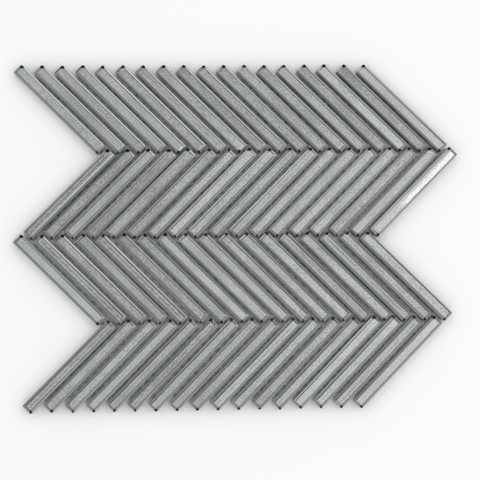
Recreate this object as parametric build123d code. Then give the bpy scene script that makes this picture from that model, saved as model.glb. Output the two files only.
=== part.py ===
"""Mosaic sheet: bevelled glass strips laid in a herringbone on a glass-fibre mesh, face up."""

import os
from math import sqrt

from build123d import *

# Glass strip, mm
strip_length = 82.0
strip_width = 8.0
strip_thickness = 6.0
bevel_width = 1.3
bevel_drop = 0.7

# Lay of the sheet
side_joint = 2.0
end_joint = 2.0
row_count = 4
strips_in_row = 18
strips_left_off_last_row = 1

# Glass-fibre mesh under the strips
mesh_pitch = 5.0
yarn_width = 0.9
yarn_thickness = 0.25
mesh_margin = 2.0

# The strips lie at 45 degrees, so sine and cosine are alike
slant = sqrt(0.5)
strip_step = (strip_width + side_joint) / slant
row_step = (strip_length + end_joint) * slant
strip_reach = (strip_length + strip_width) * slant / 2
mesh_thickness = 2 * yarn_thickness


def lean_of(row):
    """1 where the strips of a row run down to the right, -1 where they run down to the left."""
    return 1 - 2 * (row % 2)


def strips_of(row):
    """Number of strips in a row."""
    left_off = strips_left_off_last_row if row == row_count - 1 else 0
    return strips_in_row - left_off


def laid_centre(row, place):
    """Middle of a strip, measured from the top corner of the first strip."""
    shift = row_step if row % 2 else 0.0
    x = place * strip_step + shift + lean_of(row) * (strip_length - strip_width) * slant / 2
    y = -row * row_step - strip_reach
    return x, y


laid = [laid_centre(row, place) for row in range(row_count) for place in (0, strips_of(row) - 1)]
left = min(x for x, y in laid) - strip_reach
right = max(x for x, y in laid) + strip_reach
top = max(y for x, y in laid) + strip_reach
bottom = min(y for x, y in laid) - strip_reach
middle_x = (left + right) / 2
middle_y = (top + bottom) / 2
sheet_width = right - left
sheet_height = top - bottom


def centre_of(row, place):
    """Middle of a strip, measured from the middle of the sheet."""
    x, y = laid_centre(row, place)
    return x - middle_x, y - middle_y


def glass_strip():
    """One strip along X: square sides, and a bevel round the top on all four edges."""
    shoulder = strip_thickness - bevel_drop
    block = Box(strip_length, strip_width, shoulder, align=(Align.CENTER, Align.CENTER, Align.MIN))
    rim = Pos(0, 0, shoulder) * Rectangle(strip_length, strip_width)
    face = Rectangle(strip_length - 2 * bevel_width, strip_width - 2 * bevel_width)
    crown = loft([rim, Pos(0, 0, strip_thickness) * face], ruled=True)
    return block + crown


def strip_row(row):
    """All strips of one row, side by side."""
    strip = glass_strip()
    placed = []
    for place in range(strips_of(row)):
        x, y = centre_of(row, place)
        at = Pos(x, y, mesh_thickness) * Rot(0, 0, -45 * lean_of(row))
        placed.append(at * strip.solid())
    return Compound(placed)


def side_line(row, end):
    """A row's outer long side, drawn in by the margin: its distance across the slant."""
    x, y = centre_of(row, 0 if end < 0 else strips_of(row) - 1)
    return (x + lean_of(row) * y) * slant + end * (strip_width / 2 - mesh_margin)


def at_height(row, end, y):
    """Point of a row's side line at a height on the sheet."""
    return side_line(row, end) / slant - lean_of(row) * y, y


def meeting(row, end):
    """Point where the side lines of a row and the next one meet."""
    here = side_line(row, end)
    there = side_line(row + 1, end)
    return (here + there) / (2 * slant), lean_of(row) * (here - there) / (2 * slant)


def mesh_outline():
    """Zigzag outline of the mesh, inside the edge of the strips."""
    draw_in = (strip_width + 2 * mesh_margin) * slant
    high = sheet_height / 2 - draw_in
    chains = []
    for end in (-1, 1):
        chain = [at_height(0, end, high)]
        chain += [meeting(row, end) for row in range(row_count - 1)]
        chain.append(at_height(row_count - 1, end, -high))
        chains.append(chain)
    corners = chains[0] + chains[1][::-1]
    return Face(Wire.make_polygon([(x, y, 0) for x, y in corners], close=True))


def yarn_layer(base, length, spread, turn):
    """Parallel yarns of one direction, cut to the outline of the mesh."""
    outline = Pos(0, 0, base) * extrude(mesh_outline(), amount=yarn_thickness)
    yarn = Box(length, yarn_width, yarn_thickness, align=(Align.CENTER, Align.CENTER, Align.MIN))
    count = int(spread / 2 / mesh_pitch)
    cut = []
    for place in range(-count, count + 1):
        laid_yarn = Pos(0, 0, base) * Rot(0, 0, turn) * Pos(0, place * mesh_pitch, 0) * yarn
        for run in (laid_yarn & outline).solids():
            size = run.bounding_box().size
            if max(size.X, size.Y) > 2 * mesh_pitch:
                cut.append(run)
    return Compound(cut)


os.makedirs("parts", exist_ok=True)
for number in range(row_count):
    export_step(strip_row(number), f"parts/strip_row_{number + 1}.step")
export_step(yarn_layer(0, sheet_width, sheet_height, 0), "parts/mesh_cross_yarns.step")
export_step(yarn_layer(yarn_thickness, sheet_height, sheet_width, 90), "parts/mesh_long_yarns.step")
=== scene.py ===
"""Dresses the herringbone mosaic sheet: bevelled silver-grey glass strips on a woven glass-fibre mesh."""

import math

import bpy
import numpy as np
from mathutils import Matrix, Quaternion, Vector


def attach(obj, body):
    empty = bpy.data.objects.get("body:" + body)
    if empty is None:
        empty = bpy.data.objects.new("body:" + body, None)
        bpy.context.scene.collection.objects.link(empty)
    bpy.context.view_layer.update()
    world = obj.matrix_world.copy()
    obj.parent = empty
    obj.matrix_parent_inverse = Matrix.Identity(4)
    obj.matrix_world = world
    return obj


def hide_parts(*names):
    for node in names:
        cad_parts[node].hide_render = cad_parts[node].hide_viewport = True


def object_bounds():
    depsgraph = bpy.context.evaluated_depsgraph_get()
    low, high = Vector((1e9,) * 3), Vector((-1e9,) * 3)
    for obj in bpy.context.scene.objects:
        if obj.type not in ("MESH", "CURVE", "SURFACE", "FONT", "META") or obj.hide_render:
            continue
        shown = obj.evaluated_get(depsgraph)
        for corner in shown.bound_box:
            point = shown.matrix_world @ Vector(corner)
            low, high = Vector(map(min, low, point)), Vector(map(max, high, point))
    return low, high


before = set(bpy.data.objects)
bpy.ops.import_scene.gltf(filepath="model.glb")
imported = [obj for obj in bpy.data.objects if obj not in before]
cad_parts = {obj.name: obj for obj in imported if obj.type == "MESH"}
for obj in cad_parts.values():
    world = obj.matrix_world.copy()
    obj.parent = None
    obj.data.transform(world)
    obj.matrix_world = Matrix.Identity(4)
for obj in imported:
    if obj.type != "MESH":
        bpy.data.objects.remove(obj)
cad_low, cad_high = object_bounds()

MM = 0.001

# Sizes of the sheet, in metres, as in the part's source
STRIP_LENGTH = 82.0 * MM
STRIP_WIDTH = 8.0 * MM
STRIP_THICKNESS = 6.0 * MM
SIDE_JOINT = 2.0 * MM
END_JOINT = 2.0 * MM
ROWS = 4
STRIPS_IN_ROW = 18
LEFT_OFF_LAST_ROW = 1
MESH_PITCH = 5.0 * MM
YARN_WIDTH = 0.9 * MM
YARN_THICKNESS = 0.25 * MM
MESH_MARGIN = 2.0 * MM

LAY_ANGLE = 45
SLANT = math.sqrt(0.5)
STRIP_STEP = (STRIP_WIDTH + SIDE_JOINT) / SLANT
ROW_STEP = (STRIP_LENGTH + END_JOINT) * SLANT
STRIP_REACH = (STRIP_LENGTH + STRIP_WIDTH) * SLANT / 2
MESH_THICKNESS = 2 * YARN_THICKNESS

rng = np.random.default_rng(71)


# Lay of the sheet


def lean_of(row):
    """1 where a row's strips run down to the right, -1 where they run down to the left."""
    return 1 - 2 * (row % 2)


def strips_of(row):
    """Number of strips in a row."""
    return STRIPS_IN_ROW - (LEFT_OFF_LAST_ROW if row == ROWS - 1 else 0)


def laid_centres(row):
    """Middles of a row's strips from the first strip's top corner.

    They go in equal steps along the row, half a strip's reach down.
    """
    place = np.arange(strips_of(row))
    shift = ROW_STEP if row % 2 else 0.0
    x = place * STRIP_STEP + shift + lean_of(row) * (STRIP_LENGTH - STRIP_WIDTH) * SLANT / 2
    y = np.full(len(place), -row * ROW_STEP - STRIP_REACH)
    return np.stack([x, y], 1)


all_laid = np.concatenate([laid_centres(row) for row in range(ROWS)])
sheet_middle = (all_laid.min(0) + all_laid.max(0)) / 2
sheet_half_height = (all_laid[:, 1].max() - all_laid[:, 1].min()) / 2 + STRIP_REACH


def strip_centres(row):
    """Middles of a row's strips from the middle of the sheet."""
    return laid_centres(row) - sheet_middle


# Meshes from arrays


def mesh_piece(name, points, faces, finishes, finish_of_face=None, tone=None, crisp=None):
    """An object at the origin from an array of points and lists of corner numbers, smooth shaded.

    tone is kept as a value of each point. Edges between two points marked in crisp stay sharp.
    """
    mesh = bpy.data.meshes.new(name)
    mesh.from_pydata(points.tolist(), [], faces)
    mesh.polygons.foreach_set("use_smooth", np.ones(len(mesh.polygons), dtype=bool))
    for finish in finishes:
        mesh.materials.append(finish)
    if finish_of_face is not None:
        mesh.polygons.foreach_set("material_index", np.asarray(finish_of_face, dtype=np.int32))
    if tone is not None:
        layer = mesh.attributes.new("tone", "FLOAT", "POINT")
        layer.data.foreach_set("value", np.ascontiguousarray(tone, dtype=np.float32))
    if crisp is not None:
        ends = np.empty(2 * len(mesh.edges), dtype=np.int32)
        mesh.edges.foreach_get("vertices", ends)
        mesh.edges.foreach_set("use_edge_sharp", crisp[ends.reshape(-1, 2)].all(1))
    mesh.update()
    piece = bpy.data.objects.new(name, mesh)
    bpy.context.scene.collection.objects.link(piece)
    return piece


# Glass strips

# Points round a strip's outline
CORNER_STEPS = 7
NEAR_CORNER = np.array([0.4, 0.8, 1.2, 1.6, 2.0, 2.5, 3.2]) * MM
LONG_SIDE_SHARES = np.linspace(0.8, -0.8, 7)

# A strip's sides, looking along it: the back end, the front end, the right side and the left side
BACK_END, FRONT_END, RIGHT_SIDE, LEFT_SIDE = range(4)
SIDES = 4

# Section of a strip's edge
TILT_ROOM = 0.10 * MM
STRIP_TOP = STRIP_THICKNESS - TILT_ROOM
BASE_CUT = 0.3 * MM
EDGE_ROUND = 0.20 * MM
EDGE_STEPS = 3
BEVEL_WIDTH = 1.7 * MM
BEVEL_TILTS = np.radians([30, 29, 28, 27, 21, 16.5, 15.5])
BEVEL_SHARES = np.array([0.17, 0.16, 0.14, 0.11, 0.05, 0.19, 0.18])
FACE_RINGS = np.array([0.1, 0.7, 1.3, 1.8]) * MM

# Corners: radius of the arc at the wall and at the face, and facets
CORNER_OUT = 0.7 * MM
SIDE_CORNER_OUT = 0.35 * MM
CORNER_IN = 0.3 * MM
UPPER_CUT = 2.85 * MM
LOWER_CUT = 2.4 * MM
SIDE_CUT = 1.5 * MM
CORNER_SLOPE = math.tan(math.radians(32))
FACET_DEPTH = 0.03 * MM

# Chance differences from strip to strip, with angles in degrees
BEVEL_SPREAD, BEVEL_LIMITS = 0.13, (0.75, 1.28)
STEEP_SPREAD, STEEP_LIMITS = 0.10, (0.8, 1.2)
ROLL_SPREAD = 0.45
PITCH_SPREAD = 0.05
YAW_SPREAD = 0.15
SLIDE_SPREAD, SLIDE_LIMIT = 0.14 * MM, 0.3 * MM
CROWN_SPREAD = 0.004 * MM
CROWN_REACH = STRIP_WIDTH / 3
TONE_LIMIT = 2
WANDER = 0.03 * MM
LONG_WAVE, SHORT_WAVE, SHORT_WAVE_SHARE = 3.1, 7.7, 0.6

# The one strip that gleams, the last of its row
GLEAMING_ROW = 1
GLEAMING_ROLL = 4.0
GLEAMING_CROWN = 0.035 * MM
GLEAMING_BEVEL = 0.65

# Places of the finishes in a strip's list
FACE_FINISH, BEVEL_FINISH, SIDE_FINISH = range(3)


def strip_outline():
    """Once round a strip, anticlockwise: four corner arcs and points along the sides, closer near corners.

    Each point has its share of the half length and of the half width, from 1 at one side to -1 at the other,
    and the direction in which a rounded corner carries it outwards.
    """
    turn = np.linspace(0, math.pi / 2, CORNER_STEPS)
    long_ends = 1 - NEAR_CORNER / (STRIP_LENGTH / 2)
    long_side = np.concatenate([long_ends, LONG_SIDE_SHARES, -long_ends[::-1]])
    short_ends = 1 - NEAR_CORNER / (STRIP_WIDTH / 2)
    short_side = np.concatenate([short_ends, [0.0], -short_ends[::-1]])
    share_x, share_y, out_x, out_y = [], [], [], []
    for quarter, (end, edge) in enumerate(((1, 1), (-1, 1), (-1, -1), (1, -1))):
        angle = turn + quarter * math.pi / 2
        lengthwise = quarter in (0, 2)
        side = (long_side if lengthwise else short_side) * (1 if quarter < 2 else -1)
        still = np.ones(len(side))
        share_x += [np.full(CORNER_STEPS, float(end)), side if lengthwise else end * still]
        share_y += [np.full(CORNER_STEPS, float(edge)), edge * still if lengthwise else side]
        out_x += [np.cos(angle), 0 * still if lengthwise else end * still]
        out_y += [np.sin(angle), edge * still if lengthwise else 0 * still]
    return tuple(np.concatenate(a) for a in (share_x, share_y, out_x, out_y))


def strip_section(bevel, steep):
    """Section of a strip's edge from its underside up to its face: draw-in from the side, and height.

    A small slope at the foot leads to the upright wall. A small arc turns it into the bevel, which is ground
    in two slopes, a steeper one outside and a shallower one inside, and meets the flat face at a crisp line.
    bevel holds the widths of the four sides, steep how much steeper than usual each is ground.
    """
    wide = bevel[:, None, :]
    run = wide * BEVEL_SHARES[None, :, None]
    rise = run * np.tan(BEVEL_TILTS)[None, :, None] * steep[:, None, :]
    foot = STRIP_TOP - rise.sum(1, keepdims=True)
    edge = np.linspace(math.pi / 2, BEVEL_TILTS[0], EDGE_STEPS)[None, :, None]
    one = np.ones_like(wide)
    edge_in = EDGE_ROUND * (1 - np.sin(edge)) * one
    edge_up = foot + EDGE_ROUND * (np.cos(edge) - math.cos(BEVEL_TILTS[0]))
    bevel_in = edge_in[:, -1:] + np.cumsum(run, 1)
    bevel_up = foot + np.cumsum(rise, 1)
    face_in = bevel_in[:, -1:] + FACE_RINGS[None, :, None]
    draw_in = np.concatenate([BASE_CUT * one, 0 * one, edge_in, bevel_in, face_in], 1)
    height = np.concatenate([0 * one, BASE_CUT * one, edge_up, bevel_up, STRIP_TOP + 0 * face_in], 1)
    return draw_in, height


def ground_strips(row):
    """Points of a row's strips, each along x at the origin, and how much the corner facets take off them.

    The edge section is carried round the outline. A point is its share of the half length and half width,
    less the draw-in of its side, plus the corner's arc, whose radius falls from the wall to the face. A
    sloping plane across each corner cuts it to a facet: most at the strip's upper corner, less at its lower
    one and least at the two beside them. The bevel's inner line wanders a little.
    """
    share_x, share_y, out_x, out_y = strip_outline()
    count = strips_of(row)
    bevel = BEVEL_WIDTH * (1 + BEVEL_SPREAD * rng.standard_normal((count, SIDES))).clip(*BEVEL_LIMITS)
    steep = (1 + STEEP_SPREAD * rng.standard_normal((count, SIDES))).clip(*STEEP_LIMITS)
    if row == GLEAMING_ROW:
        bevel[-1, RIGHT_SIDE] *= GLEAMING_BEVEL
    draw_in, height = strip_section(bevel, steep)
    end_no = np.where(share_x > 0, FRONT_END, BACK_END)
    side_no = np.where(share_y > 0, LEFT_SIDE, RIGHT_SIDE)
    progress = (draw_in / bevel[:, None, :]).mean(2).clip(0, 1)[:, :, None]
    upper = (lean_of(row) * share_x < 0) & (share_y > 0)
    lower = (lean_of(row) * share_x > 0) & (share_y < 0)
    cut = np.where(upper, UPPER_CUT, np.where(lower, LOWER_CUT, SIDE_CUT))
    corner = np.where(upper | lower, CORNER_OUT, SIDE_CORNER_OUT)
    radius = corner + (CORNER_IN - corner) * progress
    x = share_x * (STRIP_LENGTH / 2 - draw_in[:, :, end_no] - radius) + radius * out_x
    y = share_y * (STRIP_WIDTH / 2 - draw_in[:, :, side_no] - radius) + radius * out_y
    z = out_x**2 * height[:, :, end_no] + out_y**2 * height[:, :, side_no]
    from_tip = (STRIP_LENGTH / 2 - np.abs(x) + STRIP_WIDTH / 2 - np.abs(y)) * SLANT
    facet = STRIP_TOP - CORNER_SLOPE * (cut - from_tip)
    ground = (z - facet).clip(0, None) * (z > STRIP_TOP / 2)
    phase = rng.uniform(0, 2 * math.pi, (count, 1, 1))
    wander = np.sin(LONG_WAVE * share_x + phase + out_y)
    wander = wander + SHORT_WAVE_SHARE * np.sin(SHORT_WAVE * share_x + 2 * phase - out_y)
    y = y + WANDER * wander * progress * np.abs(out_y) * (np.abs(share_x) < 1)
    return x, y, z - ground, ground


def lay_strips(row, x, y, z):
    """Points of a row's strips in their places on the sheet.

    The face is crowned or hollowed by a parabola across the strip. The top tilts, and the strip turns and
    shifts, by small chance amounts. A strip that would pass the sheet's box moves back inside it.
    """
    middles = strip_centres(row)
    count = len(middles)
    roll = np.radians(rng.normal(0, ROLL_SPREAD, count))
    pitch = np.radians(rng.normal(0, PITCH_SPREAD, count))
    yaw = np.radians(-LAY_ANGLE * lean_of(row) + rng.normal(0, YAW_SPREAD, count))
    slide = rng.normal(0, SLIDE_SPREAD, (count, 2)).clip(-SLIDE_LIMIT, SLIDE_LIMIT)
    crown = CROWN_SPREAD * rng.standard_normal(count)
    if row == GLEAMING_ROW:
        roll[-1] = math.radians(GLEAMING_ROLL)
        crown[-1] = GLEAMING_CROWN
    roll, pitch, yaw, crown = (a[:, None, None] for a in (roll, pitch, yaw, crown))
    over = z / STRIP_TOP
    z = z - over * crown * (y / CROWN_REACH) ** 2
    z = MESH_THICKNESS + z + over * (x * pitch + y * roll)
    z = z - over * (z.max((1, 2)) - cad_high[2]).clip(0, None)[:, None, None]
    place = (middles + slide)[:, None, None, :]
    turned_x = x * np.cos(yaw) - y * np.sin(yaw) + place[..., 0]
    turned_y = x * np.sin(yaw) + y * np.cos(yaw) + place[..., 1]
    points = np.stack([turned_x, turned_y, z], -1)
    past_low = np.clip(np.array(cad_low) - points.min((1, 2)), 0, None)
    past_high = np.clip(np.array(cad_high) - points.max((1, 2)), None, 0)
    return points + (past_low + past_high)[:, None, None, :]


def strip_faces(number, ground):
    """Faces of a row's strips as corner numbers, and the finish of each.

    Bands join each ring of points to the next one up, and one face closes the underside and one the top. A
    facet that cuts into the flat face has the bevel's finish.
    """
    count, rings = number.shape[:2]
    here, above = number[:, :-1], number[:, 1:]
    bands = np.stack([here, np.roll(here, -1, 2), np.roll(above, -1, 2), above], -1)
    on_face = len(FACE_RINGS)
    on_side = 2
    on_bevel = rings - 1 - on_side - on_face
    finish = np.repeat([SIDE_FINISH, BEVEL_FINISH, FACE_FINISH], [on_side, on_bevel, on_face])
    finish = np.broadcast_to(finish[None, :, None], bands.shape[:3])
    deep = ground[:, :-1] + ground[:, 1:]
    deep = (deep + np.roll(deep, -1, 2)) / 4
    finish = np.where((finish == FACE_FINISH) & (deep > FACET_DEPTH), BEVEL_FINISH, finish)
    faces = bands.reshape(-1, 4).tolist()
    faces += number[:, 0, ::-1].tolist() + number[:, -1, :].tolist()
    caps = np.repeat([SIDE_FINISH, FACE_FINISH], count)
    return faces, np.concatenate([finish.ravel(), caps])


def glass_row(row, finishes):
    """All strips of a row as one piece: ground, laid in their places and given each its own tone."""
    x, y, z, ground = ground_strips(row)
    points = lay_strips(row, x, y, z)
    number = np.arange(z.size).reshape(z.shape)
    faces, finish_of_face = strip_faces(number, ground)
    tone = rng.normal(0, 1, len(points)).clip(-TONE_LIMIT, TONE_LIMIT)
    tone = np.broadcast_to(tone[:, None, None], number.shape).ravel()
    crisp = np.zeros(number.shape, dtype=bool)
    crisp[:, -1 - len(FACE_RINGS)] = True
    name = f"glass_strips_row_{row + 1}"
    piece = mesh_piece(name, points.reshape(-1, 3), faces, finishes, finish_of_face, tone, crisp.ravel())
    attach(piece, "root")
    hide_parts(f"strip_row_{row + 1}")


# Backing mesh

YARN_POINTS = 6
YARN_FULLNESS = 0.98
STEPS_TO_PITCH = 4
LEAST_STEPS = 4
LEAST_YARN = 2 * MESH_PITCH
CUT_GRID = 0.25 * MM


def side_line(row, end):
    """A row's outer long side drawn in by the margin, as its distance across the slant."""
    x, y = strip_centres(row)[0 if end < 0 else -1]
    return (x + lean_of(row) * y) * SLANT + end * (STRIP_WIDTH / 2 - MESH_MARGIN)


def mesh_side(end):
    """Corners of the mesh's zigzag side from bottom to top, where side lines of neighbouring rows meet."""
    high = sheet_half_height - (STRIP_WIDTH + 2 * MESH_MARGIN) * SLANT
    lines = [side_line(row, end) for row in range(ROWS)]
    corners = [(lines[0] / SLANT - lean_of(0) * high, high)]
    for row in range(ROWS - 1):
        here, there = lines[row], lines[row + 1]
        corners.append(((here + there) / (2 * SLANT), lean_of(row) * (here - there) / (2 * SLANT)))
    corners.append((lines[-1] / SLANT + lean_of(ROWS - 1) * high, -high))
    return np.array(corners)[::-1]


left_side = mesh_side(-1)
right_side = mesh_side(1)


def runs_inside(inside, where):
    """First and last position of each unbroken stretch of a line that lies inside the mesh."""
    edge = np.diff(np.concatenate([[0], inside.astype(int), [0]]))
    firsts, ends = np.flatnonzero(edge == 1), np.flatnonzero(edge == -1)
    return list(zip(where[firsts], where[ends - 1]))


def yarn(start, stop, across, lift):
    """One yarn: a flattened oval carried along a line that passes over and under the yarns it crosses.

    The height of the line is the mesh's middle plus a cosine whose half wave is the mesh's pitch.
    """
    steps = max(LEAST_STEPS, int(round((stop - start) / (MESH_PITCH / STEPS_TO_PITCH))))
    along = np.linspace(start, stop, steps + 1)
    turn = np.arange(YARN_POINTS) * 2 * math.pi / YARN_POINTS
    rise = MESH_THICKNESS / 2 + lift * (YARN_THICKNESS / 2) * np.cos(math.pi * along / MESH_PITCH)
    wide = across + np.broadcast_to(YARN_WIDTH / 2 * np.cos(turn), (steps + 1, YARN_POINTS))
    high = rise[:, None] + YARN_THICKNESS / 2 * YARN_FULLNESS * np.sin(turn)
    far = np.broadcast_to(along[:, None], wide.shape)
    number = np.arange(far.size).reshape(far.shape)
    here, there = number[:-1], number[1:]
    bands = np.stack([here, np.roll(here, -1, 1), np.roll(there, -1, 1), there], -1).reshape(-1, 4)
    caps = np.stack([number[0], number[-1, ::-1]])
    return np.stack([far, wide, high], -1).reshape(-1, 3), bands, caps


def yarn_layer(name, node, lengthwise, finish):
    """All yarns of one direction as one piece, each cut where it meets the mesh's zigzag sides."""
    spread = int((cad_high[0] if lengthwise else cad_high[1]) / MESH_PITCH)
    grid = np.arange(-sheet_half_height, sheet_half_height, CUT_GRID)
    left = np.interp(grid, left_side[:, 1], left_side[:, 0])
    right = np.interp(grid, right_side[:, 1], right_side[:, 0])
    high = right_side[-1, 1]
    way = -1 if lengthwise else 1
    points, faces, offset = [], [], 0
    for line in range(-spread, spread + 1):
        across = line * MESH_PITCH
        if lengthwise:
            runs = runs_inside((across > left) & (across < right) & (np.abs(grid) <= high), grid)
        elif abs(across) > high:
            runs = []
        else:
            runs = [[np.interp(across, side[:, 1], side[:, 0]) for side in (left_side, right_side)]]
        lift = -way if line % 2 else way
        for start, stop in runs:
            if stop - start < LEAST_YARN:
                continue
            spots, bands, caps = yarn(start, stop, across, lift)
            points.append(spots)
            faces += (bands + offset)[:, ::way].tolist() + (caps + offset)[:, ::way].tolist()
            offset += len(spots)
    points = np.concatenate(points)
    if lengthwise:
        points = points[:, [1, 0, 2]]
    piece = mesh_piece(name, points, faces, [finish])
    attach(piece, "root")
    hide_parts(node)


# Nodes


def new_material(name, plain):
    """A node material and its Principled shader, with plain values on some of the shader's sockets."""
    finish = bpy.data.materials.new(name)
    finish.use_nodes = True
    shader = finish.node_tree.nodes["Principled BSDF"]
    for socket, value in plain.items():
        shader.inputs[socket].default_value = value
    return finish, finish.node_tree, shader


def add(tree, kind, **settings):
    """A node with settings: an input's number or name as socket values in a dict, the rest as properties."""
    node = tree.nodes.new(kind)
    for key, value in settings.items():
        if key == "inputs":
            for socket, amount in value.items():
                node.inputs[socket].default_value = amount
        else:
            setattr(node, key, value)
    return node


def math_of(tree, kind, one, two, clamp=False):
    """A math node on two outputs or numbers."""
    node = add(tree, "ShaderNodeMath", operation=kind, use_clamp=clamp)
    for socket, value in zip(node.inputs, (one, two)):
        if isinstance(value, (int, float)):
            socket.default_value = value
        else:
            tree.links.new(value, socket)
    return node.outputs[0]


# Finishes

# Fleck: noise to the metre, and the strength of the slow drift of tone
FINE_NOISE = {"Scale": 1300.0, "Detail": 2.0, "Roughness": 0.6}
BROAD_NOISE = {"Scale": 45.0, "Detail": 1.0}
BROAD_STRENGTH = 0.72
NOISE_MIDDLE = 0.5

# Each finish: strength of the fine fleck, dark and light colour, and reach of the strip's tone
FACE_LOOK = 3.3, (0.128, 0.138, 0.138), (0.447, 0.478, 0.478), 0.12
BEVEL_LOOK = 1.0, (0.32, 0.33, 0.33), (0.42, 0.43, 0.43), 0.10
SIDE_LOOK = 0.8, (0.09, 0.096, 0.093), (0.25, 0.26, 0.255), 0.05
YARN_LOOK = 1.2, (0.58, 0.56, 0.52), (0.84, 0.83, 0.79), 0.0
STRAND_RELIEF = {"Strength": 0.5, "Distance": 0.0001}


def fleck_group():
    """Silvery fleck: fine noise and a slow drift of tone, mixed into one value about zero."""
    group = bpy.data.node_groups.new("silver_fleck", "ShaderNodeTree")
    group.interface.new_socket("Vector", in_out="INPUT", socket_type="NodeSocketVector")
    group.interface.new_socket("Fine", in_out="INPUT", socket_type="NodeSocketFloat")
    group.interface.new_socket("Fleck", in_out="OUTPUT", socket_type="NodeSocketFloat")
    start = add(group, "NodeGroupInput")
    end = add(group, "NodeGroupOutput")
    levels = []
    for noise in (FINE_NOISE, BROAD_NOISE):
        texture = add(group, "ShaderNodeTexNoise", inputs=noise)
        group.links.new(start.outputs["Vector"], texture.inputs["Vector"])
        levels.append(math_of(group, "SUBTRACT", texture.outputs["Fac"], NOISE_MIDDLE))
    strong = math_of(group, "MULTIPLY", levels[0], start.outputs["Fine"])
    weak = math_of(group, "MULTIPLY", levels[1], BROAD_STRENGTH)
    group.links.new(math_of(group, "ADD", strong, weak), end.inputs["Fleck"])
    return group


fleck = fleck_group()


def flecked(tree, shader, look):
    """Colours a shader between dark and light by the fleck and the strip's own tone, and gives the fleck.

    The tone also moves the fleck, so that no two strips have the same one.
    """
    fine, dark, light, reach = look
    place = add(tree, "ShaderNodeTexCoord")
    tone = add(tree, "ShaderNodeAttribute", attribute_name="tone")
    apart = add(tree, "ShaderNodeVectorMath", operation="ADD")
    flecks = add(tree, "ShaderNodeGroup", node_tree=fleck, inputs={"Fine": fine})
    mix = add(tree, "ShaderNodeMix", data_type="RGBA")
    mix.inputs["A"].default_value = (*dark, 1)
    mix.inputs["B"].default_value = (*light, 1)
    share = math_of(tree, "MULTIPLY", tone.outputs["Fac"], reach)
    both = math_of(tree, "ADD", flecks.outputs["Fleck"], share)
    link = tree.links.new
    link(place.outputs["Object"], apart.inputs[0])
    link(tone.outputs["Fac"], apart.inputs[1])
    link(apart.outputs[0], flecks.inputs["Vector"])
    link(math_of(tree, "ADD", both, NOISE_MIDDLE, clamp=True), mix.inputs["Factor"])
    link(mix.outputs["Result"], shader.inputs["Base Color"])
    return flecks.outputs["Fleck"]


def silver_face():
    """Flat face: silver-grey glass with a fine fleck under a clear gloss."""
    plain = {"Roughness": 0.32, "Coat Weight": 1.0, "Coat Roughness": 0.06}
    finish, tree, shader = new_material("silver_grey_glass_face", plain)
    flecked(tree, shader, FACE_LOOK)
    return finish


def bevel_glass():
    """Polished bevel: mirror-backed glass that shows the room."""
    finish, tree, shader = new_material("polished_glass_bevel", {"Metallic": 1.0, "Roughness": 0.07})
    flecked(tree, shader, BEVEL_LOOK)
    return finish


def side_glass():
    """Sawn side: dark glass."""
    finish, tree, shader = new_material("sawn_glass_side", {"Roughness": 0.25})
    flecked(tree, shader, SIDE_LOOK)
    return finish


def yarn_finish():
    """Off-white coated glass-fibre yarn with fine strands."""
    finish, tree, shader = new_material("coated_glass_fibre_yarn", {"Roughness": 0.7})
    strands = flecked(tree, shader, YARN_LOOK)
    bump = add(tree, "ShaderNodeBump", inputs=STRAND_RELIEF)
    tree.links.new(strands, bump.inputs["Height"])
    tree.links.new(bump.outputs["Normal"], shader.inputs["Normal"])
    return finish


strip_finishes = [silver_face(), bevel_glass(), side_glass()]
for row in range(ROWS):
    glass_row(row, strip_finishes)
yarns = yarn_finish()
yarn_layer("woven_cross_yarns", "mesh_cross_yarns", False, yarns)
yarn_layer("woven_long_yarns", "mesh_long_yarns", True, yarns)


# Floor

FLOOR_HALF = 6.0
FLOOR_DROP = 0.2 * MM
FLOOR_LOOK = {"Base Color": (0.97, 0.97, 0.97, 1), "Roughness": 1.0, "Specular IOR Level": 0.0}


def floor():
    """A wide flat floor just under the mesh."""
    corners = np.array([[-1, -1, 0], [1, -1, 0], [1, 1, 0], [-1, 1, 0]])
    finish = new_material("pale_floor", FLOOR_LOOK)[0]
    piece = mesh_piece("floor", corners * FLOOR_HALF - [0, 0, FLOOR_DROP], [[0, 1, 2, 3]], [finish])


# Room and lamp

# Light for matt surfaces: at the sides and overhead
SOFT_GLOW = 1.18
SOFT_TOP_GLOW = 0.40

# Levels that reflections show, from the walls to the ceiling
UPPER_GLOW = 0.25
NEAR_UPPER_GLOW = 0.45
LOW_GLOW = 0.58
NEAR_LOW_GLOW = 0.78
PANEL_GLOW = 1.8
NEAR_PANEL_GLOW = 1.1
SIDE_GLOW = 0.70
RIM_GLOW = 0.7
CORNER_GLOW = 0.05
OPENING_GLOW = 0.0
OPENING_SHARE = 0.97
NORTH_GLOW = 1.0
TOP_GLOW = 1.1
SPOT_GLOW = 2.4

# Elevations at which parts of the room begin or end, and half the width of their soft edges, in degrees
RIM_TOP = 12, 2
CORNER_TOP = 18, 2
RIGHT_PANEL_FOOT = 15, 3
LEFT_PANEL_FOOT = 23, 4
PANEL_TOP = 33, 3
NEAR_PANEL_TOP = 40, 4
LOW_TOP = 42, 4
NORTH_FOOT = 50, 4
FAR_OPENING_TOP = 52, 4
SIDE_TOP = 57, 4
SOFT_TOP = 58, 8
NEAR_OPENING_TOP = 62, 4
CEILING_FOOT = 64, 4

# Soft edges in azimuth, as the square of a level direction's part across or along the room
SIDE_EDGE = 0.75, 0.88
CORNER_EDGE = 0.30, 0.45
PANEL_EDGE = 0.41, 0.68
NEAR_PANEL_EDGE = 0.50, 0.66
NORTH_EDGE = 0.62, 0.82
OPENING_EDGE = 0.78, 0.89

# Soft edges of the bright spot overhead, as parts of the direction across and along the room
SPOT_ACROSS = -0.10, 0.24
SPOT_ALONG = 0.06, 0.30

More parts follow.
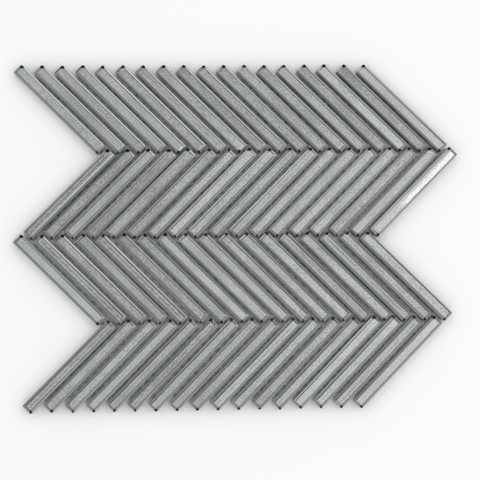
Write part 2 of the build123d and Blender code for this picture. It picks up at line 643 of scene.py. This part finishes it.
# Keeps the division by a direction's level part from failing straight up
LEAST_LEVEL = 1e-6

LAMP_PLACE = 0.475, 0.105, 0.90
LAMP_AIM = 0.124, 0.03, 0.0
LAMP_SIZE = 0.09, 0.22
LAMP_TURN = 40
LAMP_POWER = 0.52


def studio_world():
    """Studio room, with light that changes by direction and is laid on part by part.

    Matt surfaces get an even soft light, weaker overhead. Reflections show a panelled room: a light band low
    all round, with bright panels at the far and near diagonals, lighter walls at the left and right, dark
    openings straight ahead and behind, a dark low corner at the far left, and a ceiling panel that reaches
    lower on the far side and is brightest on the right.
    """
    world = bpy.data.worlds.new("studio")
    bpy.context.scene.world = world
    world.use_nodes = True
    tree = world.node_tree
    tree.nodes.clear()
    way = add(tree, "ShaderNodeTexCoord")
    parts = add(tree, "ShaderNodeSeparateXYZ")
    tree.links.new(way.outputs["Generated"], parts.inputs[0])
    across, along, up = (parts.outputs[axis] for axis in "XYZ")

    def ramp(source, low, high):
        """0 below low, 1 above high, smooth between."""
        edges = {"From Min": low, "From Max": high}
        node = add(tree, "ShaderNodeMapRange", interpolation_type="SMOOTHSTEP", inputs=edges)
        tree.links.new(source, node.inputs["Value"])
        return node.outputs["Result"]

    def product(*factors):
        """Product of outputs and numbers: of masks, 1 where all are 1."""
        total = factors[0]
        for factor in factors[1:]:
            total = math_of(tree, "MULTIPLY", total, factor)
        return total

    def but(mask):
        """1 where a mask is 0."""
        return math_of(tree, "SUBTRACT", 1.0, mask)

    def above(degrees, soft):
        """1 over an elevation, 0 under it."""
        return ramp(up, math.sin(math.radians(degrees - soft)), math.sin(math.radians(degrees + soft)))

    def below(degrees, soft):
        """1 under an elevation, 0 over it."""
        return but(above(degrees, soft))

    def laid(under, mask, level):
        """A glow laid over another where the mask is 1."""
        change = math_of(tree, "SUBTRACT", level, under)
        return math_of(tree, "ADD", under, product(mask, change))

    across_square = product(across, across)
    along_square = product(along, along)
    level = math_of(tree, "ADD", math_of(tree, "ADD", across_square, along_square), LEAST_LEVEL)
    across_share = math_of(tree, "DIVIDE", across_square, level)
    along_share = math_of(tree, "DIVIDE", along_square, level)
    far = math_of(tree, "GREATER_THAN", along, 0.0)
    near = but(far)
    left = math_of(tree, "LESS_THAN", across, 0.0)
    right = but(left)

    left_foot = product(left, below(*LEFT_PANEL_FOOT))
    right_foot = product(right, below(*RIGHT_PANEL_FOOT))
    feet = math_of(tree, "ADD", left_foot, right_foot)
    panel = product(far, ramp(along_share, *PANEL_EDGE), below(*PANEL_TOP), but(feet))
    near_panel = product(near, ramp(along_share, *NEAR_PANEL_EDGE), below(*NEAR_PANEL_TOP), but(feet))
    sides = product(ramp(across_share, *SIDE_EDGE), below(*SIDE_TOP))
    corner = product(far, left, ramp(along_share, *CORNER_EDGE), below(*CORNER_TOP))
    far_opening = product(far, below(*FAR_OPENING_TOP))
    near_opening = product(near, below(*NEAR_OPENING_TOP))
    tall = math_of(tree, "ADD", far_opening, near_opening)
    openings = product(ramp(along_share, *OPENING_EDGE), tall, OPENING_SHARE)
    north = product(far, ramp(along_share, *NORTH_EDGE), above(*NORTH_FOOT))
    middle = but(ramp(math_of(tree, "ABSOLUTE", along, 0.0), *SPOT_ALONG))
    spot = product(ramp(across, *SPOT_ACROSS), middle, SPOT_GLOW)

    glow = laid(UPPER_GLOW, near, NEAR_UPPER_GLOW)
    glow = laid(glow, below(*LOW_TOP), LOW_GLOW)
    glow = laid(glow, product(near, right, below(*LOW_TOP)), NEAR_LOW_GLOW)
    glow = laid(glow, panel, PANEL_GLOW)
    glow = laid(glow, near_panel, NEAR_PANEL_GLOW)
    glow = laid(glow, sides, SIDE_GLOW)
    glow = laid(glow, below(*RIM_TOP), RIM_GLOW)
    glow = laid(glow, corner, CORNER_GLOW)
    glow = laid(glow, openings, OPENING_GLOW)
    glow = laid(glow, north, NORTH_GLOW)
    glow = laid(glow, above(*CEILING_FOOT), math_of(tree, "ADD", TOP_GLOW, spot))
    ray = add(tree, "ShaderNodeLightPath")
    soft = laid(SOFT_TOP_GLOW, below(*SOFT_TOP), SOFT_GLOW)
    glow = laid(soft, ray.outputs["Is Glossy Ray"], glow)

    back = add(tree, "ShaderNodeBackground", inputs={"Color": (1, 1, 1, 1)})
    out = add(tree, "ShaderNodeOutputWorld")
    tree.links.new(glow, back.inputs["Strength"])
    tree.links.new(back.outputs[0], out.inputs[0])


def small_lamp():
    """A small rectangular lamp at the right, facing a point near the right edge and turned about its axis."""
    lamp = bpy.data.lights.new("small_lamp", "AREA")
    lamp.shape = "RECTANGLE"
    lamp.size, lamp.size_y = LAMP_SIZE
    lamp.energy = LAMP_POWER
    holder = bpy.data.objects.new("small_lamp", lamp)
    holder.location = LAMP_PLACE
    facing = (Vector(LAMP_AIM) - Vector(LAMP_PLACE)).to_track_quat("-Z", "Y")
    holder.rotation_euler = (facing @ Quaternion((0, 0, 1), math.radians(LAMP_TURN))).to_euler()
    bpy.context.scene.collection.objects.link(holder)


# Camera, with the directions to its right and behind it

CAMERA_PLACE = -0.0427, -0.0869, 0.8578
CAMERA_RIGHT = 0.9987, -0.0148, 0.0498
CAMERA_BACK = -0.0510, -0.0972, 0.9940
CAMERA_ANGLE = 22
CAMERA_NEAREST = 0.01


def camera():
    """Camera above the sheet, a little towards its near edge, with the first row at the picture's top."""
    lens = bpy.data.cameras.new("camera")
    lens.angle = math.radians(CAMERA_ANGLE)
    lens.clip_start = CAMERA_NEAREST
    holder = bpy.data.objects.new("camera", lens)
    back = Vector(CAMERA_BACK).normalized()
    up = back.cross(Vector(CAMERA_RIGHT).normalized()).normalized()
    turn = Matrix((up.cross(back), up, back)).transposed().to_4x4()
    holder.matrix_world = Matrix.Translation(CAMERA_PLACE) @ turn
    bpy.context.scene.collection.objects.link(holder)
    bpy.context.scene.camera = holder


floor()
studio_world()
small_lamp()
camera()
bpy.context.scene.view_settings.view_transform = "Standard"
